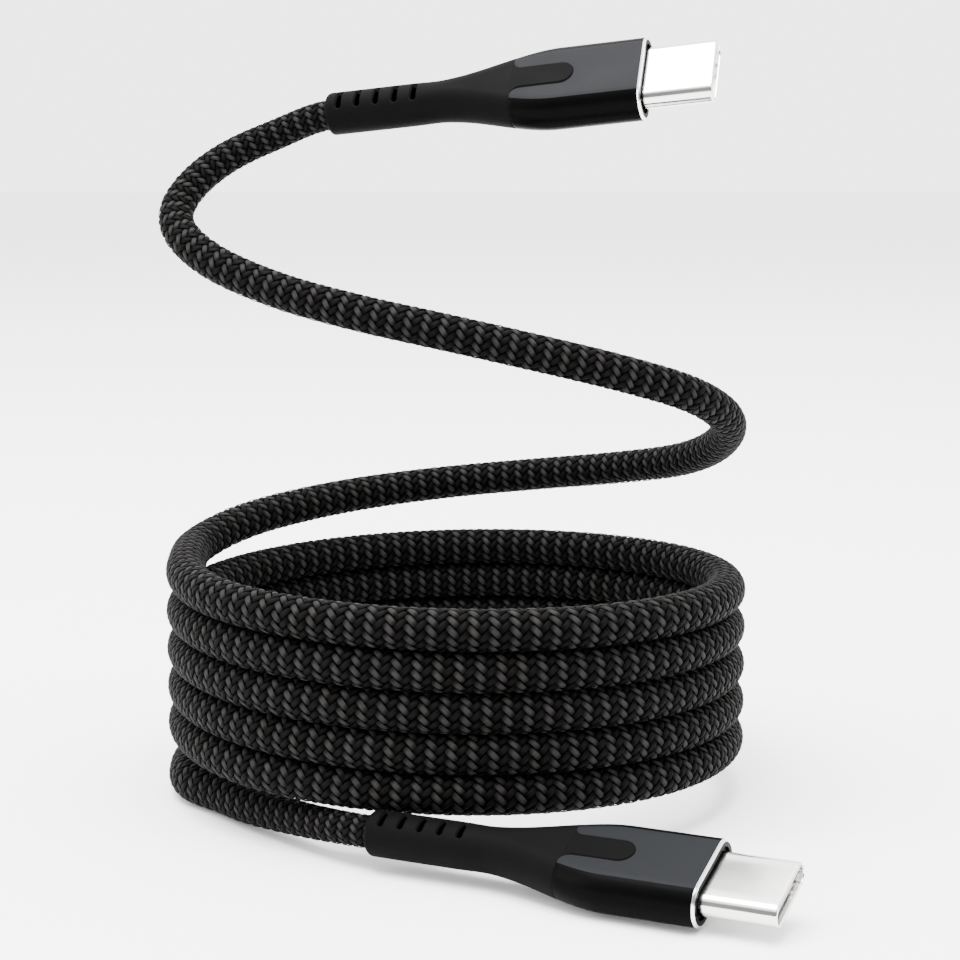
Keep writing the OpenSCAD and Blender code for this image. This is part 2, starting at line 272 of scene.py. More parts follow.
# Near-black painted shade for the insides of the boot's slots: the rubber there is the same as the
# rest, darkened to stand for the shade in the recesses.
SLOT_PAINTED_SHADE = Finish("slot_inside_painted_shade", (0.0001, 0.0001, 0.0001), 0.8, specular=0.0)
SATIN_GREY = Finish(
    "satin_slate_grey", (0.0081, 0.0086, 0.0096), 0.45, specular=0.028,
    grain_mm=0.05, grain_depth_mm=0.0012, roughness_swing=0.03,
)
GLOSS_BLACK = Finish(
    "gloss_black_side", (0.0009, 0.0009, 0.001), 0.32, specular=0.014, roughness_swing=0.03,
)
CUT_EDGE = Finish("diamond_cut_edge", (0.86, 0.87, 0.89), 0.14, metallic=1.0, colour_swing=0.02)
NOSE_BLACK = Finish("nose_black", (0.0015, 0.0015, 0.0015), 0.45, specular=0.03)
SHELL_STEEL = Finish(
    "polished_shell_steel", (0.80, 0.79, 0.77), 0.14, metallic=1.0, colour_swing=0.02,
    roughness_swing=0.03, grain_mm=0.12, grain_depth_mm=0.0004, stretch=(0.2, 1.0, 1.0),
)
CARRIER_BLACK = Finish("carrier_black", (0.006, 0.006, 0.006), 0.5, specular=0.2)
CONTACT_GOLD = Finish("contact_gold", (0.93, 0.68, 0.28), 0.2, metallic=1.0, colour_swing=0.03)
SPRING_STEEL = Finish("spring_steel", (0.62, 0.62, 0.63), 0.28, metallic=1.0, colour_swing=0.03)
CARD_GREEN = Finish("card_green", (0.006, 0.07, 0.03), 0.35, coat=0.4)
CHIP_BLACK = Finish("chip_black", (0.008, 0.008, 0.009), 0.55, grain_depth_mm=0.002)
CERAMIC = Finish("capacitor_ceramic", (0.42, 0.3, 0.18), 0.4)
CRIMP = Finish("tinned_crimp", (0.66, 0.6, 0.5), 0.3, metallic=1.0)
WIRE_RED = Finish("wire_insulation", (0.45, 0.03, 0.03), 0.4)
HOT_MELT = Finish("inner_mould", (0.72, 0.69, 0.6), 0.45, grain_depth_mm=0.003)
JACKET = Finish("inner_jacket", (0.01, 0.01, 0.01), 0.5)
# Near-black painted shade for the gaps between the picks, where the yarn beneath lies in shade; the
# braid's end inside the boot takes it too.
SHADE_PAINTED_BED = Finish("weave_bed_painted_shade", (0.0004, 0.0004, 0.0004), 0.95, specular=0.0)
GREY_YARN = YarnFinish("grey_yarn", (0.0172, 0.0164, 0.0156), specular=0.03)
BLACK_YARN = YarnFinish("black_yarn", (0.0034, 0.0034, 0.0035), roughness=0.55, specular=0.015)


def ease(share: np.ndarray | float) -> np.ndarray | float:
    """Returns a smooth step from 0 to 1, flat at both ends."""
    held = np.clip(share, 0.0, 1.0)
    return held * held * (3.0 - 2.0 * held)


def between(
    first: np.ndarray, last: np.ndarray, start: float, end: float, at: np.ndarray
) -> np.ndarray:
    """Returns the points between two at some values of a parameter that runs from start to end."""
    return (end - at) / (end - start) * first + (at - start) / (end - start) * last


def distances(line: np.ndarray) -> np.ndarray:
    """Returns how far along a line each of its points lies."""
    return np.concatenate([[0.0], np.cumsum(np.linalg.norm(np.diff(line, axis=0), axis=1))])


@dataclass
class Skin:
    """Vertices, faces and a material number for each face, gathered into one mesh."""

    name: str
    points: list[np.ndarray] = field(default_factory=list)
    faces: list[tuple[int, ...]] = field(default_factory=list)
    slots: list[int] = field(default_factory=list)
    count: int = 0

    def strip(self, rings: np.ndarray, slot: int = 0, closed: bool = True) -> None:
        """Adds a surface over rings of points, with vertices of its own.

        Args:
            rings: Points as an array of shape (rings, points in a ring, 3), in metres.
            slot: The material number of its faces.
            closed: Whether each ring runs back to its first point.
        """
        n, k = rings.shape[:2]
        last = k if closed else k - 1
        for i in range(n - 1):
            a, b = self.count + i * k, self.count + (i + 1) * k
            self.faces += [(a + j, a + (j + 1) % k, b + (j + 1) % k, b + j) for j in range(last)]
        self.slots += [slot] * ((n - 1) * last)
        self.points.append(rings.reshape(-1, 3))
        self.count += n * k

    def cap(self, ring: np.ndarray, slot: int = 0) -> None:
        """Adds one flat face over a ring of points.

        Args:
            ring: The points in order, as an array of shape (points, 3).
            slot: The material number of the face.
        """
        self.faces.append(tuple(range(self.count, self.count + len(ring))))
        self.slots.append(slot)
        self.points.append(ring)
        self.count += len(ring)

    def build(self, finishes: Sequence[Finish], place: Matrix) -> bpy.types.Object:
        """Makes the object.

        Args:
            finishes: The finish of each material number.
            place: The matrix that takes the points to the row frame.

        Returns:
            The object, with its place in its mesh.
        """
        mesh = bpy.data.meshes.new(self.name)
        mesh.from_pydata(np.concatenate(self.points).tolist(), [], self.faces)
        mesh.transform(place)
        mesh.polygons.foreach_set("use_smooth", [True] * len(mesh.polygons))
        for finish in finishes:
            mesh.materials.append(finish.material())
        mesh.polygons.foreach_set("material_index", self.slots)
        mesh.update()
        made = bpy.data.objects.new(self.name, mesh)
        bpy.context.scene.collection.objects.link(made)
        return made


@dataclass(frozen=True)
class PlugPose:
    """Where a plug lies: the middle of its boot's tail, and its roll, pitch and yaw."""

    tail_mm: tuple[float, float, float]
    turn_deg: tuple[float, float, float]

    def matrix(self) -> Matrix:
        """Returns the matrix from the plug's own frame to the row frame."""
        turn = Euler([math.radians(a) for a in self.turn_deg], "XYZ").to_matrix().to_4x4()
        return Matrix.Translation(Vector(self.tail_mm) * MM) @ turn

    def point(self, x: float) -> Vector:
        """Returns the point of the plug's axis at x metres from the tail."""
        return self.matrix() @ Vector((x, 0.0, 0.0))

    def forward(self) -> np.ndarray:
        """Returns the plug's direction."""
        return np.array(self.matrix().to_3x3() @ Vector((1.0, 0.0, 0.0)))


POSES = {
    End.UPPER: PlugPose((-14, 6.2, 75.1), (46.5, -5.8, -17.4)),
    End.LOWER: PlugPose((-8, -31.8, 3.7), (22.4, -0.2, -27)),
}


@dataclass
class Route:
    """The cord's centre line, from the lower boot round the coil and up the riser."""

    coil_r: float = 0.0302
    pitch: float = 0.0042
    cord_r: float = 0.0022
    floor_from: float = 1512.0
    floor_to: float = 1815.0
    floor_rise: float = 0.0052
    sag_from: float = 1640.0
    lead_mm: tuple[tuple[float, float, float], ...] = (
        (-25.4, -12.3, 2.3), (-22.2, -16.9, 2.35), (-17.9, -22.1, 2.7), (-13.6, -27.0, 3.2),
    )
    riser_mm: tuple[tuple[float, float, float], ...] = (
        (-30.2, 10, 25.6), (-25.7, 18.5, 27), (-18.2, 25.5, 28.1), (-9.8, 30, 29),
        (0.5, 31.8, 30), (10.8, 29.8, 31.2), (20.1, 24, 32.8), (26.9, 15.5, 35),
        (30.1, 6.5, 38.1), (30, -2.5, 41.8), (25.7, -9.5, 45.2), (18, -13.5, 47.9),
        (9, -15, 50.2), (-0.7, -15, 52.4), (-10.6, -12.5, 54.4), (-19.8, -8.5, 56.7),
        (-27.8, -3.5, 60.1), (-31.2, 1.5, 63.9), (-28.9, 5.4, 68), (-24.7, 7.6, 71),
        (-20.2, 8, 72.9), (-17.4, 7.4, 74.1),
    )
    late_rise: float = 0.0003
    late_angle: float = 45.0
    coil_stations: int = 182
    smoothness: int = 24
    straight: float = 0.0016
    tucked: float = 0.0015
    step: float = 0.0004

    def coil_point(self, angle: float) -> tuple[float, float, float]:
        """Gives a point of the coil.

        Args:
            angle: Degrees from the top turn's left side, over its front, and downwards.

        Returns:
            The point, in metres.
        """
        if angle > self.floor_from:
            share = (angle - self.sag_from) / (self.floor_to - self.sag_from)
            slope = self.pitch / 360.0
            sag = self.floor_rise - slope * (self.floor_to - self.floor_from)
            z = self.cord_r + self.floor_rise
            z -= slope * (min(angle, self.floor_to) - self.floor_from)
            z -= sag * float(ease(share))
        else:
            z = self.cord_r + self.floor_rise + self.pitch * (self.floor_from - angle) / 360.0
            z += self.late_rise * max(0.0, 1.0 - angle / self.late_angle) ** 2
        turn = math.radians(angle)
        return (-self.coil_r * math.cos(turn), -self.coil_r * math.sin(turn), z)

    def stations(self) -> np.ndarray:
        """Lists the points that the cord passes through.

        Returns:
            The points in order from the lower boot to the upper one, in metres.
        """
        lower, upper = POSES[End.LOWER], POSES[End.UPPER]
        low, high = np.array(lower.point(0.0)), np.array(upper.point(0.0))
        points = [low + lower.forward() * self.tucked, low, low - lower.forward() * self.straight]
        points += [np.array(p) * MM for p in reversed(self.lead_mm)]
        angles = np.linspace(self.floor_to, 0.0, self.coil_stations)
        points += [np.array(self.coil_point(a)) for a in angles]
        points += [np.array(p) * MM for p in self.riser_mm]
        points += [high - upper.forward() * self.straight, high]
        points.append(high + upper.forward() * self.tucked)
        return np.array(points)

    def line(self) -> np.ndarray:
        """Runs one smooth curve through the stations.

        Returns:
            Evenly spaced points of the curve, in metres.
        """
        p = self.stations()
        p = np.vstack([2 * p[0] - p[1], p, 2 * p[-1] - p[-2]])
        gaps = np.linalg.norm(np.diff(p, axis=0), axis=1)
        t = np.concatenate([[0.0], np.cumsum(gaps ** 0.5)])
        dense = []
        for i in range(1, len(p) - 2):
            u = np.linspace(t[i], t[i + 1], self.smoothness + 1)[:-1, None]
            a1 = between(p[i - 1], p[i], t[i - 1], t[i], u)
            a2 = between(p[i], p[i + 1], t[i], t[i + 1], u)
            a3 = between(p[i + 1], p[i + 2], t[i + 1], t[i + 2], u)
            b1 = between(a1, a2, t[i - 1], t[i + 1], u)
            b2 = between(a2, a3, t[i], t[i + 2], u)
            dense.append(between(b1, b2, t[i], t[i + 1], u))
        dense.append(p[-2][None])
        return self.evened(self.softened(self.evened(np.vstack(dense))))

    def evened(self, line: np.ndarray) -> np.ndarray:
        """Spaces a line's points evenly.

        Args:
            line: Points along the line.

        Returns:
            Points along the same line, one step apart.
        """
        along = distances(line)
        even = np.linspace(0.0, along[-1], int(along[-1] / self.step) + 1)
        return np.stack([np.interp(even, along, line[:, k]) for k in range(3)], axis=1)

    def softened(self, line: np.ndarray, reach: int = 5, passes: int = 2) -> np.ndarray:
        """Evens out a line's curvature, with its ends held.

        Args:
            line: Evenly spaced points.
            reach: Points on each side that a point is averaged with.
            passes: How often that is done.

        Returns:
            The softened line.
        """
        for _ in range(passes):
            ends = (2 * line[0] - line[reach:0:-1], 2 * line[-1] - line[-2:-reach - 2:-1])
            padded = np.vstack([ends[0], line, ends[1]])
            sums = np.cumsum(np.vstack([np.zeros(3), padded]), axis=0)
            line = (sums[2 * reach + 1:] - sums[:-2 * reach - 1]) / (2 * reach + 1)
        return line


@dataclass
class Lay:
    """The cord's centre line, with what changes along it."""

    line: np.ndarray
    along: np.ndarray
    across: np.ndarray
    leads: np.ndarray
    sides: np.ndarray
    ups: np.ndarray

    def place(self, lead: np.ndarray, turn: np.ndarray, depth: np.ndarray) -> np.ndarray:
        """Places points on the cord.

        Args:
            lead: How many turns a strand has made along the cord at each point.
            turn: Where round the cord each point is, in turns.
            depth: How far below the surface it is, as a share of the cord's radius.

        Returns:
            The points, in metres.
        """
        s = np.interp(lead, self.leads, self.along)
        angle = 2.0 * np.pi * turn
        r = np.interp(s, self.along, self.across) / 2.0 * (1.0 - depth)
        c, n, b = (
            np.stack([np.interp(s, self.along, rows[:, k]) for k in range(3)], axis=-1)
            for rows in (self.line, self.sides, self.ups)
        )
        return c + r[..., None] * (np.cos(angle)[..., None] * n + np.sin(angle)[..., None] * b)


@dataclass
class Braid:
    """The two-tone sleeve: flat picks of two yarn families over a near-black bed that paints the
    shade in the gaps between them.
    """

    strands: int = 12
    lead_share: float = 2.7
    coil_d: float = 0.0044
    riser_d: float = 0.0040
    end_d: float = 0.0034
    neck: float = 0.034
    thinning: float = 0.06
    bed_sides: int = 16
    bed_step: int = 3
    bed_depth: float = 0.00017
    pick_height: float = 0.00030
    tuck: float = 1.05
    half_width: float = 0.42
    wander: float = 0.03
    looseness: float = 0.12
    tint_swing: float = 0.07
    # How far the painted shade darkens each pick towards its ends and its sides, where it dives
    # under its neighbours.
    end_painted_shade: float = 0.92
    side_painted_shade: float = 0.8
    trim: float = 0.02
    seed: int = 7
    route: Route = field(default_factory=Route)

    def diameters(self, along: np.ndarray, total: float, riser_at: float) -> np.ndarray:
        """Gives the cord's diameter along its length.

        Args:
            along: Distances from the lower boot.
            total: The cord's whole length.
            riser_at: Where the riser leaves the coil.

        Returns:
            The diameter at each distance.
        """
        body = self.coil_d + (self.riser_d - self.coil_d) * ease((along - riser_at) / self.thinning)
        near = ease(1.0 - along / self.neck)
        far = ease(1.0 - (total - along) / self.neck)
        return body + (self.end_d - body) * np.maximum(near, far)

    def frames(self, line: np.ndarray) -> tuple[np.ndarray, np.ndarray]:
        """Carries a pair of cross directions along the line without twist.

        Args:
            line: Evenly spaced points.

        Returns:
            The two unit directions across the line at each point.
        """
        ahead = np.gradient(line, axis=0)
        ahead /= np.linalg.norm(ahead, axis=1)[:, None]
        side = np.cross((0.0, 0.0, 1.0), ahead[0])
        sides = np.empty_like(line)
        for i, t in enumerate(ahead):
            side = side - t * np.dot(side, t)
            side = side / np.linalg.norm(side)
            sides[i] = side
        return sides, np.cross(ahead, sides)

    def lay(self) -> Lay:
        """Works out what changes along the cord.

        Returns:
            The centre line with its diameters, leads and cross directions.
        """
        line = self.route.line()
        gaps = np.linalg.norm(np.diff(line, axis=0), axis=1)
        along = distances(line)
        start = np.array(self.route.riser_mm[0]) * MM
        riser_at = along[np.argmin(np.linalg.norm(line - start, axis=1))]
        across = self.diameters(along, along[-1], riser_at)
        mid = (across[1:] + across[:-1]) / 2.0
        leads = np.concatenate([[0.0], np.cumsum(gaps / (self.lead_share * mid))])
        return Lay(line, along, across, leads, *self.frames(line))

    def build(self) -> None:
        lay = self.lay()
        bed, bed_faces = self.bed(lay)
        picks, pick_faces, shades, maps, kinds = self.picks(lay)
        points = np.vstack([bed, picks])
        faces = np.vstack([bed_faces, pick_faces + len(bed)])
        cord = self.mesh(points, faces, shades, maps, kinds, len(bed), len(bed_faces))
        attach(cord, "cord")
        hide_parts("cord_floor_turn", "cord_coil", "cord_riser")

    def bed(self, lay: Lay) -> tuple[np.ndarray, np.ndarray]:
        """Makes the near-black tube under the picks, a painted shade for the gaps between them.

        Args:
            lay: The centre line with what changes along it.

        Returns:
            The tube's points and faces.
        """
        pick = np.arange(0, len(lay.line), self.bed_step)
        n = self.bed_sides
        angle = np.linspace(0.0, 2.0 * np.pi, n + 1)[:-1]
        r = lay.across[pick] / 2.0 * (1.0 - self.bed_depth / (self.coil_d / 2.0))
        ring = np.cos(angle)[None, :, None] * lay.sides[pick][:, None, :]
        ring = ring + np.sin(angle)[None, :, None] * lay.ups[pick][:, None, :]
        points = (lay.line[pick][:, None, :] + r[:, None, None] * ring).reshape(-1, 3)
        i, j = np.meshgrid(np.arange(len(pick) - 1), np.arange(n), indexing="ij")
        a, b = i * n + j, i * n + (j + 1) % n
        return points, np.stack([a, b, b + n, a + n], axis=-1).reshape(-1, 4)

    def picks(
        self, lay: Lay
    ) -> tuple[np.ndarray, np.ndarray, np.ndarray, np.ndarray, np.ndarray]:
        """Lays every visible pick of a braid that goes over two and under two.

        Args:
            lay: The centre line with what changes along it.

        Returns:
            The points, the faces, a shade for each point (random tone times painted shade at the
            pick's ends and sides), a map position for each point and the yarn's number for each
            face.
        """
        n = self.strands
        leads = lay.leads[-1]
        columns = int(leads * n / 2.0)
        # Stations along and across one pick, in halves of its visible length and width.
        u = np.array([-self.tuck, -0.72, -0.28, 0.28, 0.72, self.tuck])
        v = np.array([-1.0, -0.62, 0.0, 0.62, 1.0])
        crown = 1.0 - 0.42 * u ** 2 - 0.46 * np.abs(u) ** 6
        round_top = np.sqrt(np.clip(1.0 - 0.93 * v ** 2, 0.0, 1.0))
        rise = crown[:, None] * 0.55 + round_top[None, :] * 0.45
        depth = (1.0 - np.clip(rise, -0.6, 1.0)) * self.pick_height / (self.coil_d / 2.0)
        rng = np.random.default_rng(self.seed)
        points, shades, maps, kinds = [], [], [], []
        for yarn, offset in ((Yarn.GREY, -0.5), (Yarn.BLACK, 1.5)):
            m, i = np.meshgrid(np.arange(columns), np.arange(n), indexing="ij")
            m, i = m.ravel(), i.ravel()
            lead0 = (4.0 * m + offset) / (2.0 * n)
            turn0 = i / n + yarn.value * lead0
            keep = (lead0 > self.trim) & (lead0 < leads - self.trim)
            lead0, turn0 = lead0[keep], turn0[keep]
            run = u[None, :, None] / (2.0 * n)
            wide = v[None, None, :] * self.half_width / (2.0 * n)
            wander = rng.normal(0.0, self.wander, (len(lead0), 1, 1)) / (2.0 * n)
            lead = lead0[:, None, None] + run - wide
            turn = turn0[:, None, None] + yarn.value * (run + wide) + wander
            loose = 1.0 + rng.normal(0.0, self.looseness, (len(lead0), 1, 1))
            points.append(lay.place(lead, turn, depth[None] * loose).reshape(-1, 3))
            tint = rng.normal(1.0, self.tint_swing, (len(lead0), 1, 1))
            # Painted shade: each pick darkens towards its ends and its sides, where it dives under
            # its neighbours; tint is its own random tone.
            past = np.clip((np.abs(u) - 0.22) / 0.62, 0.0, 1.0)[:, None]
            side = np.clip(np.abs(v) - 0.4, 0.0, 1.0)[None, :]
            edge = ((1.0 - self.end_painted_shade * past ** 1.3) * (1.0 - self.side_painted_shade * side))[None]
            shades.append(np.clip(tint * edge, 0.08, 1.3).ravel())
            shift = rng.uniform(0.0, 90.0, (len(lead0), 2, 1, 1))
            along_yarn = shift[:, 0] + u[None, :, None] * np.ones((1, 1, len(v)))
            over_yarn = shift[:, 1] + v[None, None, :] * np.ones((1, len(u), 1)) * 0.5
            maps.append(np.stack([along_yarn, over_yarn], axis=-1).reshape(-1, 2))
            kind = 1 if yarn is Yarn.GREY else 2
            kinds.append(np.full(len(lead0) * (len(u) - 1) * (len(v) - 1), kind))
        total = sum(len(p) for p in points) // (len(u) * len(v))
        a, b = np.meshgrid(np.arange(len(u) - 1), np.arange(len(v) - 1), indexing="ij")
        corner = (a * len(v) + b).ravel()
        quad = np.stack([corner, corner + 1, corner + len(v) + 1, corner + len(v)], axis=1)
        faces = (np.arange(total)[:, None, None] * len(u) * len(v) + quad[None]).reshape(-1, 4)
        kinds = np.concatenate(kinds)
        flip = kinds == 2
        faces[flip] = faces[flip][:, ::-1]
        return np.vstack(points), faces, np.concatenate(shades), np.vstack(maps), kinds

    def mesh(
        self, points: np.ndarray, faces: np.ndarray, shades: np.ndarray, maps: np.ndarray,
        kinds: np.ndarray, bed_points: int, bed_faces: int,
    ) -> bpy.types.Object:
        """Turns the arrays into one mesh object with three materials.

        Args:
            points: All points, the bed's first.
            faces: All faces, the bed's first.
            shades: A shade for each point of the picks, random tone times painted shade at its
                pick's ends and sides.
            maps: A map position for each point of the picks.
            kinds: The yarn's number for each face of the picks.
            bed_points: How many points the bed has.
            bed_faces: How many faces the bed has.

        Returns:
            The sleeve.
        """
        mesh = bpy.data.meshes.new("braided_cord")
        mesh.vertices.add(len(points))
        mesh.vertices.foreach_set("co", points.astype(np.float32).ravel())
        mesh.loops.add(faces.size)
        mesh.loops.foreach_set("vertex_index", faces.astype(np.int32).ravel())
        mesh.polygons.add(len(faces))
        mesh.polygons.foreach_set("loop_start", np.arange(0, faces.size, 4, dtype=np.int32))
        for finish in (SHADE_PAINTED_BED, GREY_YARN, BLACK_YARN):
            mesh.materials.append(finish.material())
        slots = np.concatenate([np.zeros(bed_faces, np.int32), kinds.astype(np.int32)])
        mesh.update(calc_edges=True)
        mesh.polygons.foreach_set("material_index", slots)
        mesh.polygons.foreach_set("use_smooth", np.ones(len(faces), dtype=bool))
        # The 'shade' attribute holds each pick's random tone times its painted shade; the bed takes
        # 1.
        value = np.concatenate([np.ones(bed_points), shades])
        shade = mesh.color_attributes.new("shade", "FLOAT_COLOR", "POINT")
        colour = np.repeat(value[:, None], 4, axis=1).astype(np.float32)
        colour[:, 3] = 1.0
        shade.data.foreach_set("color", colour.ravel())
        flat = np.vstack([np.zeros((bed_points, 2)), maps])
        layer = mesh.uv_layers.new(name="yarn")
        layer.data.foreach_set("uv", flat[faces.ravel()].astype(np.float32).ravel())
        mesh.update()
        made = bpy.data.objects.new("braided_cord", mesh)
        bpy.context.scene.collection.objects.link(made)
        return made


@dataclass
class Plug:
    """One plug: its boot, housing and shell, in the plug's own frame along +X."""

    end: End
    tail_len: float = 0.013
    flare_len: float = 0.0088
    tail_d: float = 0.0047
    boot_fillet: float = 0.0005
    boot_sides: int = 144
    neck_at: float = 0.0125
    neck_len: float = 0.0016
    neck_depth: float = 0.0001
    bore_d: float = 0.0037
    front_h: float = 0.0045
    proud: float = 0.00003
    slot_count: int = 5
    slot_first: float = 0.0017
    slot_step: float = 0.0022
    slot_w: float = 0.00066
    slot_l: float = 0.0024
    slot_depth: float = 0.00042
    slot_edge: float = 0.00012
    tongue_len: float = 0.007
    tongue_w: float = 0.003
    tongue_root: float = 0.0054
    tongue_behind: float = 0.0012
    tongue_top: float = 0.00245
    tongue_rise_len: float = 0.0014
    tongue_slope: float = 0.00017
    tongue_sink: float = 0.0002
    housing_w: float = 0.0106
    housing_h: float = 0.0046
    housing_len: float = 0.0146
    housing_wall: float = 0.0007
    housing_tuck: float = 0.0004
    nose_depth: float = 0.004
    satin_over: int = 2
    chamfer: float = 0.00024
    shell_w: float = 0.00825
    shell_h: float = 0.0024
    shell_wall: float = 0.0003
    shell_out: float = 0.0076
    shell_in: float = 0.0072
    shell_lip: float = 0.0003
    sweep_from: float = 0.0128
    sweep_len: float = 0.014
    core_r: float = 0.00135
    braid_end_len: float = 0.0055
    braid_end_r: float = 0.00168
    flex_from: float = 0.002
    flex_to: float = 0.012

    @property
    def rear(self) -> float:
        """Where the boot ends and the housing starts."""
        return self.tail_len + self.flare_len

    @property
    def front(self) -> float:
        """The housing's front face."""
        return self.rear + self.housing_len

    @property
    def tip(self) -> float:
        """The front of the shell."""
        return self.front + self.shell_out

    def name(self, piece: str) -> str:
        """Returns a piece's name at this end."""
        return f"{self.end.value}_{piece}"

    def section(
        self, x: float, w: float, h: float, arc: int = ARC_STEPS, flat: int = FLAT_STEPS
    ) -> np.ndarray:
        """Gives a section with two flat sides and two round ends.

        Args:
            x: Its place along the plug.
            w: Its width.
            h: Its height.
            arc: Segments in each round end.
            flat: Segments in each flat side.

        Returns:
            The ring of points, which starts where the far end's curve meets the top.
        """
        r, half = h / 2.0, (w - h) / 2.0
        ring = []
        for side, first in ((1, 90.0), (-1, 270.0)):
            for k in range(arc):
                a = math.radians(first - 180.0 * k / arc)
                ring.append((x, side * half + r * math.cos(a), r * math.sin(a)))
            for k in range(flat):
                ring.append((x, side * half * (1.0 - 2.0 * k / flat), -side * r))
        return np.array(ring)

    def boot_radius(self, x: np.ndarray) -> tuple[np.ndarray, np.ndarray]:
        """Gives the boot's outer width and height along the plug.

        Args:
            x: Distances from the tail.

        Returns:
            The width and the height at each distance.
        """
        s = ease((x - self.sweep_from) / self.sweep_len)
        v = np.clip((x - self.sweep_from) / (self.rear - self.sweep_from), 0.0, 1.0)
        neck = self.neck_depth * np.exp(-(((x - self.neck_at) / self.neck_len) ** 2))
        w = self.tail_d + (self.housing_w - self.tail_d) * s - neck
        h = self.tail_d + (self.front_h + 2 * self.proud - self.tail_d) * v - neck
        return w, h

    def boot(self) -> bpy.types.Object:
        """Makes the soft boot: a slotted tail, a flare and a tongue over the housing.

        Returns:
            The boot.
        """
        skin = Skin(self.name("flex_boot"))
        around = self.boot_sides
        angle = (np.arange(around) + 0.5) / around * 2.0 * np.pi
        fillet = self.boot_fillet
        turn = np.radians(np.linspace(0.0, 90.0, 7))
        x = np.concatenate([
            fillet - fillet * np.cos(turn), np.linspace(fillet, self.tail_len, 126)[1:],
            np.linspace(self.tail_len, self.rear, 40)[1:],
        ])
        shrink = np.concatenate([fillet - fillet * np.sin(turn), np.zeros(len(x) - len(turn))])
        w, h = self.boot_radius(x)
        w, h = w - 2.0 * shrink, h - 2.0 * shrink
        y = h[:, None] / 2 * np.cos(angle) + np.sign(np.cos(angle)) * (w - h)[:, None] / 2
        z = h[:, None] / 2 * np.sin(angle)
        depth = self.slot_depths(x[:, None] * np.ones_like(y), y)
        scale = 1.0 - depth / np.hypot(y, z)
        rings = np.stack([x[:, None] * np.ones_like(y), y * scale, z * scale], axis=-1)
        bore = self.bore_d / 2.0
        mouth = np.stack([
            np.stack([np.full(around, d), bore * np.cos(angle), bore * np.sin(angle)], axis=-1)
            for d in (0.0012, 0.0)
        ])
        lip = self.section_like(angle, self.rear, w[-1] - 0.0005, h[-1] - 0.0005)
        soft = self.section_like(angle, self.rear + 0.00004, w[-1] - 0.0001, h[-1] - 0.0001)
        skin.strip(np.concatenate([mouth, rings, soft[None], lip[None]]))
        # Faces deep in the slots take the second finish, a near-black painted shade for the shade
        # inside the recesses.
        sunk = np.vstack([np.zeros((2, around)), depth, np.zeros((2, around))])
        painted_shade_faces = np.minimum.reduce([
            sunk[:-1], sunk[1:], np.roll(sunk, -1, 1)[:-1], np.roll(sunk, -1, 1)[1:]
        ])
        skin.slots = (painted_shade_faces.ravel() > 0.3 * self.slot_depth).astype(int).tolist()
        self.tongue(skin)
        return skin.build([SOFT_TOUCH, SLOT_PAINTED_SHADE], POSES[self.end].matrix())

    def section_like(self, angle: np.ndarray, x: float, w: float, h: float) -> np.ndarray:
        """Gives a round-ended section at the same angles as the boot's rings.

        Args:
            angle: The angles.
            x: Its place along the plug.
            w: Its width.
            h: Its height.

        Returns:
            The ring of points.
        """
        y = h / 2 * np.cos(angle) + np.sign(np.cos(angle)) * (w - h) / 2
        return np.stack([np.full(len(angle), x), y, h / 2 * np.sin(angle)], axis=-1)

    def slot_depths(self, x: np.ndarray, y: np.ndarray) -> np.ndarray:
        """Gives how deep the flex slots are at each point of the tail.

        Args:
            x: Distances from the tail.
            y: Distances from the boot's middle plane.

        Returns:
            The depth below the smooth surface.
        """
        depth = np.zeros_like(x)
        r = self.slot_w / 2.0
        for i in range(self.slot_count):
            past = np.maximum(np.abs(y) - (self.slot_l / 2.0 - r), 0.0)
            edge = np.hypot(x - self.slot_first - i * self.slot_step, past) - r
            fall = 0.5 - edge / self.slot_edge
            depth = np.maximum(depth, self.slot_depth * ease(fall))
        return depth

    def tongue(self, skin: Skin) -> None:
        """Adds the tongue: hollow curves at its root, straight sides and a round end.

        Args:
            skin: The boot's skin.
        """
        root = self.tongue_root / 2.0
        half = self.tongue_w / 2.0
        r = root - half
        behind = self.rear - self.tongue_behind
        quarter = [math.radians(a) for a in range(0, 91, 9)]
        near = [(behind, -root)] + [
            (self.rear + r - r * math.cos(a), -root + r * math.sin(a)) for a in quarter
        ]
        centre = self.rear + self.tongue_len - half
        turn = [math.radians(a) for a in range(0, 181, 9)]
        end = [(centre + half * math.sin(a), -half * math.cos(a)) for a in turn]
        outline = np.array(near + end + [(x, -y) for x, y in reversed(near)])
        ahead = np.roll(outline, -1, axis=0) - np.roll(outline, 1, axis=0)
        inward = np.stack([-ahead[:, 1], ahead[:, 0]], axis=1)
        inward /= np.linalg.norm(inward, axis=1)[:, None]
        rings = []
        for inset, drop in ((0.0, 0.0006), (0.0, 0.00012), (0.00004, 0.00004), (0.00014, 0.0)):
            p = outline + inward * inset
            short = self.rear + self.tongue_rise_len - p[:, 0]
            slope = np.clip(short / self.tongue_rise_len, 0.0, 1.0) * self.tongue_slope
            sink = np.clip((self.rear - p[:, 0]) / self.tongue_behind, 0.0, 1.0) * self.tongue_sink
            z = self.tongue_top - drop - slope - sink
            rings.append(np.column_stack([p, z]))
        skin.strip(np.array(rings))
        skin.cap(rings[-1])

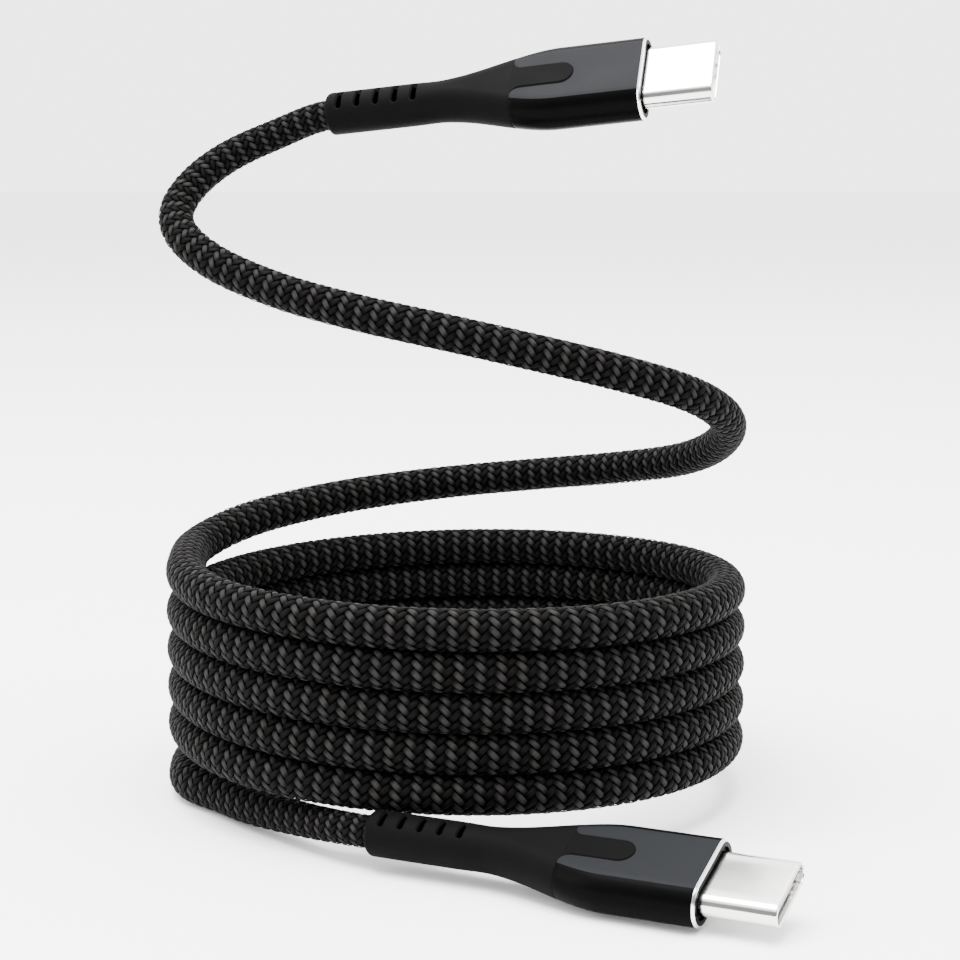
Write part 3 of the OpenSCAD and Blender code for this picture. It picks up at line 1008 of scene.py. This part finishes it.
    def housing(self) -> bpy.types.Object:
        """Makes the housing: satin faces, glossy round sides and a cut front edge.

        Returns:
            The housing.
        """
        skin = Skin(self.name("outer_housing"))
        swept = np.linspace(self.rear, self.sweep_from + self.sweep_len, 16)
        widths = self.boot_radius(swept)[0]
        tuck = self.housing_tuck
        stages = [(self.rear - tuck, widths[0] - tuck, self.front_h - tuck)]
        for x, width in zip(swept, widths):
            share = (x - self.rear) / (swept[-1] - self.rear)
            rise = (self.housing_h - self.front_h) * share * (2.0 - share)
            stages.append((x, width, self.front_h + rise))
        edge = self.front - self.chamfer
        stages.append(((stages[-1][0] + edge) / 2.0, self.housing_w, self.housing_h))
        stages.append((edge, self.housing_w, self.housing_h))
        rings = np.array([self.section(*s) for s in stages])
        arc, flat, over = ARC_STEPS, FLAT_STEPS, self.satin_over
        side, face = arc - 2 * over, flat + 2 * over
        for first, count, slot in (
            (over, side, 1), (arc - over, face, 0),
            (arc + flat + over, side, 1), (2 * arc + flat - over, face, 0),
        ):
            pick = [(first + k) % rings.shape[1] for k in range(count + 1)]
            skin.strip(rings[:, pick], slot, closed=False)
        w, h, cut = self.housing_w, self.housing_h, self.chamfer
        inner_w, inner_h = w - 2 * self.housing_wall, h - 2 * self.housing_wall
        rim = (self.front, w - 2 * cut, h - 2 * cut)
        mouth = (self.front, inner_w, inner_h)
        back = (self.front - self.nose_depth, inner_w, inner_h)
        bright = [(edge, w, h), (self.front - cut / 4, w - 1.8 * cut, h - 1.8 * cut), rim]
        for part, slot in ((bright, 2), ([rim, mouth], 3), ([mouth, back], 3)):
            skin.strip(np.array([self.section(*s) for s in part]), slot)
        return skin.build(
            [SATIN_GREY, GLOSS_BLACK, CUT_EDGE, NOSE_BLACK], POSES[self.end].matrix()
        )

    def shell(self) -> bpy.types.Object:
        """Makes the metal shell: a rolled tube with a rounded lip.

        Returns:
            The shell.
        """
        skin = Skin(self.name("metal_shell"))
        w, h, wall = self.shell_w, self.shell_h, self.shell_wall
        lip = self.shell_lip
        behind = self.front - self.shell_in
        stages = [(x, w, h) for x in (
            behind, self.front - 0.002, self.front, self.tip - 0.003, self.tip - lip * 1.2
        )]
        for a in np.radians(np.linspace(10.0, 90.0, 8)):
            inset = lip * 0.75 * (1.0 - math.cos(a))
            stages.append((self.tip - lip + lip * math.sin(a), w - 2 * inset, h - 2 * inset))
        inner = (w - 2 * wall, h - 2 * wall)
        stages.append((self.tip - 0.00005, inner[0] + 0.00006, inner[1] + 0.00006))
        stages += [(x, *inner) for x in (self.tip - 0.0002, behind)]
        skin.strip(np.array([self.section(*s) for s in stages]))
        return skin.build([SHELL_STEEL], POSES[self.end].matrix())

    def inner(self, piece: str, length: float, radius: float, finish: Finish) -> bpy.types.Object:
        """Makes a round inner piece inside the boot's tail.

        Args:
            piece: The name of the CAD piece that it stands for.
            length: Its length from the boot's tail.
            radius: Its radius.
            finish: Its finish.

        Returns:
            The piece.
        """
        skin = Skin(self.name(piece + "_flexing"))
        stages = [(0.0001, 0.0002)] + [(x, 2 * radius) for x in np.linspace(0.0001, length, 30)]
        stages.append((length, 0.0002))
        skin.strip(np.array([self.section(x, d, d, 12, 0) for x, d in stages]))
        return skin.build([finish], POSES[self.end].matrix())

    def dress_nodes(self, nodes: dict[str, bpy.types.Object]) -> None:
        """Gives the CAD pieces that show as they are their finishes.

        Args:
            nodes: The frame's CAD objects by name.
        """
        finishes = {
            "nose_insert": NOSE_BLACK, "contact_carrier": CARRIER_BLACK,
            "contacts_top": CONTACT_GOLD, "contacts_bottom": CONTACT_GOLD,
            "latch_plate": SPRING_STEEL, "ground_springs": SPRING_STEEL,
            "paddle_card": CARD_GREEN, "marker_chip": CHIP_BLACK, "card_parts": CERAMIC,
            "ferrule": CRIMP, "wires": WIRE_RED, "inner_mould": HOT_MELT,
        }
        for piece, finish in finishes.items():
            node = nodes[self.name(piece)]
            node.data.materials.clear()
            node.data.materials.append(finish.material())
            LOG.info("dressed %s in %s", node.name, finish.name)

    def build(self, nodes: dict[str, bpy.types.Object]) -> None:
        """Makes the plug's own pieces, and sets the housing and the shell on the plug's body.

        Args:
            nodes: The frame's CAD objects by name.
        """
        body = f"{self.end.value}_plug"
        pose = POSES[self.end]
        boot = self.boot()
        core = self.inner("cable_core", self.tail_len, self.core_r, JACKET)
        # The braid's end takes the bed's near-black painted-shade finish.
        braid = self.inner("braid_end", self.braid_end_len, self.braid_end_r, SHADE_PAINTED_BED)
        for made, node, slot in (
            (boot, "boot", "boot_rubber"), (core, "cable_core", "inner_jacket"),
            (braid, "braid_end", "braid"),
        ):
            tuple(pose.point(self.flex_from))
            tuple(pose.point(self.flex_to))
            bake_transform(made)
            self.stand_in(made, node)
        for made, node, slot in (
            (self.housing(), "housing", "housing"), (self.shell(), "shell", "shell_steel")
        ):
            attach(made, body)
            self.stand_in(made, node)
        self.dress_nodes(nodes)

    def stand_in(self, made: bpy.types.Object, node: str) -> None:
        """Lets a piece stand for a CAD piece, and reports it.

        Args:
            made: The piece.
            node: The name of the CAD piece, without its end.
        """
        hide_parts(self.name(node))
        LOG.info("built %s with %d faces", made.name, len(made.data.polygons))


@dataclass
class Studio:
    """The pale floor, the soft lights and the camera."""

    look_down: float = 8.318
    distance: float = 0.260
    aim: tuple[float, float, float] = (0.00268, 0.0, 0.0347)
    lens: float = 87.3
    floor_size: float = 6.0
    lit_height: float = 0.03
    front_sky: float = 0.4
    back_sky: float = 3.9
    top_sky: float = 5.6
    side_span: tuple[float, float] = (-0.4, 0.4)
    top_span: tuple[float, float] = (0.55, 0.85)

    def ramp(
        self, nodes: bpy.types.Nodes, taken: tuple[float, float], given: tuple[float, float]
    ) -> bpy.types.Node:
        """Makes a node that maps one range to another.

        Args:
            nodes: The node tree's nodes.
            taken: The range that comes in.
            given: The range that goes out.

        Returns:
            The node, with its value input free.
        """
        made = nodes.new("ShaderNodeMapRange")
        made.inputs["From Min"].default_value, made.inputs["From Max"].default_value = taken
        made.inputs["To Min"].default_value, made.inputs["To Max"].default_value = given
        return made

    def camera(self) -> None:
        """Sets the scene's camera at the front, a little above the coil."""
        data = bpy.data.cameras.new("camera")
        data.lens, data.sensor_width = self.lens, 36.0
        data.clip_start, data.clip_end = 0.01, 20.0
        made = bpy.data.objects.new("camera", data)
        tilt = math.radians(self.look_down)
        made.location = Vector(self.aim) + Vector(
            (0.0, -self.distance * math.cos(tilt), self.distance * math.sin(tilt))
        )
        made.rotation_euler = (math.pi / 2.0 - tilt, 0.0, 0.0)
        bpy.context.scene.collection.objects.link(made)
        bpy.context.scene.camera = made

    def floor(self) -> None:
        """Makes the plain white floor."""
        paint = bpy.data.materials.new("studio_white")
        paint.use_nodes = True
        shader = paint.node_tree.nodes["Principled BSDF"]
        shader.inputs["Base Color"].default_value = (0.9, 0.9, 0.9, 1.0)
        shader.inputs["Roughness"].default_value = 0.9
        shader.inputs["Specular IOR Level"].default_value = 0.05
        half = self.floor_size / 2.0
        mesh = bpy.data.meshes.new("floor")
        corners = [(-half, -half, 0), (half, -half, 0), (half, half, 0), (-half, half, 0)]
        mesh.from_pydata(corners, [], [(0, 1, 2, 3)])
        mesh.materials.append(paint)
        made = bpy.data.objects.new("floor", mesh)
        bpy.context.scene.collection.objects.link(made)

    def light(
        self, name: str, at: tuple[float, float, float], size: tuple[float, float], power: float
    ) -> None:
        """Hangs one soft rectangular lamp that faces the coil.

        Args:
            name: Its name.
            at: Its place.
            size: Its width and height.
            power: Its power in watts.
        """
        lamp = bpy.data.lights.new(name, "AREA")
        lamp.shape = "RECTANGLE"
        lamp.size, lamp.size_y = size
        lamp.energy = power
        made = bpy.data.objects.new(name, lamp)
        made.location = at
        ahead = Vector((0, 0, self.lit_height)) - Vector(at)
        made.rotation_euler = ahead.to_track_quat("-Z", "Y").to_euler()
        bpy.context.scene.collection.objects.link(made)

    def build(self) -> None:
        """Sets the floor, the sky and the lights."""
        self.floor()
        world = bpy.data.worlds.new("studio")
        world.use_nodes = True
        nodes, links = world.node_tree.nodes, world.node_tree.links
        sky = nodes["Background"]
        sky.inputs["Color"].default_value = (1.0, 1.0, 1.0, 1.0)
        place = nodes.new("ShaderNodeTexCoord")
        parts = nodes.new("ShaderNodeSeparateXYZ")
        links.new(place.outputs["Generated"], parts.inputs["Vector"])
        sides = self.ramp(nodes, self.side_span, (self.front_sky, self.back_sky))
        above = self.ramp(nodes, self.top_span, (0.0, self.top_sky))
        links.new(parts.outputs["Y"], sides.inputs["Value"])
        links.new(parts.outputs["Z"], above.inputs["Value"])
        brighter = nodes.new("ShaderNodeMath")
        brighter.operation = "MAXIMUM"
        links.new(sides.outputs["Result"], brighter.inputs[0])
        links.new(above.outputs["Result"], brighter.inputs[1])
        links.new(brighter.outputs["Value"], sky.inputs["Strength"])
        bpy.context.scene.world = world
        self.light("key_top", (-0.1, -0.1, 0.8), (0.6, 0.6), 26.0)
        self.light("left_strip", (-0.7, -0.25, 0.35), (0.25, 0.6), 6.0)
        self.light("right_strip", (0.75, -0.3, 0.3), (0.25, 0.6), 5.0)


def main() -> None:
    """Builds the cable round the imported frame."""
    logging.basicConfig(level=logging.INFO, format="%(name)s: %(message)s")
    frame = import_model()
    studio = Studio()
    studio.camera()
    Braid().build()
    for end in End:
        Plug(end).build(frame["nodes"])
    studio.build()


if __name__ == "__main__":
    main()
